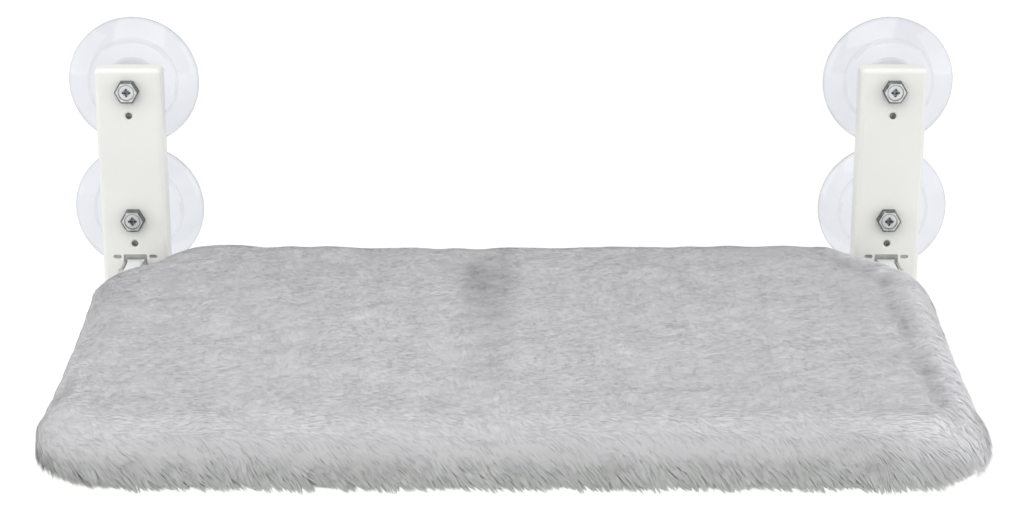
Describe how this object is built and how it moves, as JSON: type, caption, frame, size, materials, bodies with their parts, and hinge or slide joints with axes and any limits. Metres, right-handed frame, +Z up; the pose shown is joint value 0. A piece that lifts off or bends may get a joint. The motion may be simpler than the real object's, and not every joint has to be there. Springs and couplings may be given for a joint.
{
  "type": "window mounted cat perch",
  "caption": "Cordless perch for a cat: a flat plush bed that folds up on pressed steel brackets held to a window pane by clear suction cups.",
  "frame": {"origin": "the point on the window pane midway between the four suction cups", "axes": "+Z up, +Y out of the room through the pane, +X to the right seen from the room"},
  "size_m": [0.545, 0.3315, 0.1745],
  "materials": {
    "bracket_paint": "satin white powder coat on pressed steel",
    "frame_paint": "satin white powder coat on steel tube",
    "zinc": "bright zinc plate",
    "clear_cup": "clear soft PVC, faintly violet",
    "nylon": "natural moulded nylon",
    "plywood": "sanded birch plywood, unvarnished",
    "foam": "open cell foam",
    "plush": "short light grey plush with a brushed pile",
    "lining": "plain woven polyester",
    "closure_tape": "hook and loop tape"
  },
  "bodies": {
    "root": {"left_bracket": "bracket_paint", "upper_left_cup": "clear_cup", "lower_left_cup": "clear_cup", "left_cup_bolts": "zinc", "left_cup_inserts": "zinc", "left_hinge_ears": "zinc", "left_hinge_pin": "zinc", "right_bracket": "bracket_paint", "upper_right_cup": "clear_cup", "lower_right_cup": "clear_cup", "right_cup_bolts": "zinc", "right_cup_inserts": "zinc", "right_hinge_ears": "zinc", "right_hinge_pin": "zinc"},
    "platform": {"left_hinge_block": "nylon", "right_hinge_block": "nylon", "front_frame": "frame_paint", "rear_rail": "frame_paint", "left_slat": "frame_paint", "centre_slat": "frame_paint", "right_slat": "frame_paint", "deck_board": "plywood", "foam_pad": "foam", "plush_cover": "plush", "underside_panel": "lining", "closure_hook_tape": "closure_tape", "closure_loop_tape": "closure_tape"}
  },
  "joints": [
    {"name": "platform_fold", "type": "hinge", "parent": "root", "child": "platform", "pos_m": [0, -0.0433, -0.0725], "axis": [-1, 0, 0], "range_deg": [0, 80]}
  ]
}
